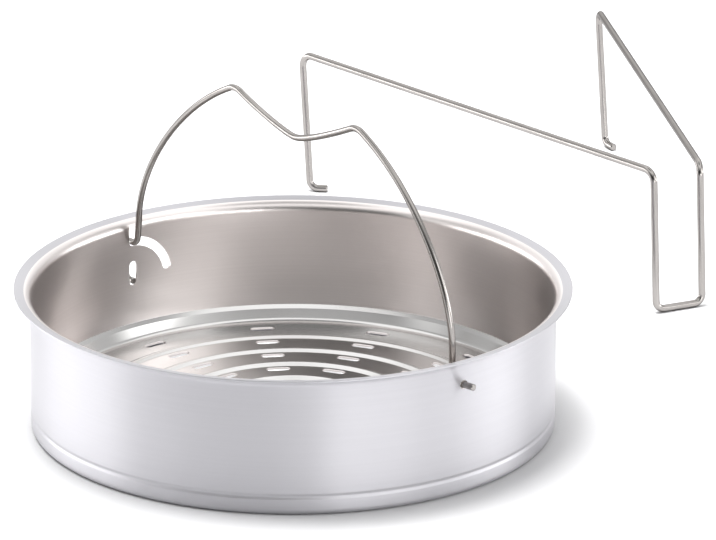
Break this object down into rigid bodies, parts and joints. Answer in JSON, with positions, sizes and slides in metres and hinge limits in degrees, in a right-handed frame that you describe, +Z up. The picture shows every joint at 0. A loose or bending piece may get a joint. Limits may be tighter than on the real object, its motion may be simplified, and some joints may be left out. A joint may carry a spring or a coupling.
{
  "type": "steamer insert",
  "caption": "Round stainless steamer pan with a perforated, ribbed floor and a folding wire bail, beside the loose V-shaped wire trivet that it stands on in a pot.",
  "frame": {"origin": "middle of the set's footprint, on the table", "axes": "+X along the bail's hinge, +Y the way that the bail folds and towards the trivet, +Z up"},
  "size_m": [0.3092, 0.4062, 0.1231],
  "materials": {
    "pan_steel": "satin polished sheet",
    "wire_steel": "drawn wire, satin"
  },
  "bodies": {
    "pan": {"pan": "pan_steel"},
    "handle": {"handle": "wire_steel"},
    "trivet": {"trivet": "wire_steel"}
  },
  "joints": [
    {"name": "handle_hinge", "type": "hinge", "parent": "pan", "child": "handle", "pos_m": [-0.04358, -0.10107, 0.0283], "axis": [-0.9975, 0, -0.07], "range_deg": [0, 58]},
    {"name": "trivet_lift", "type": "slide", "parent": "pan", "child": "trivet", "axis": [0, 0, 1], "range_m": [0, 0.1]}
  ]
}
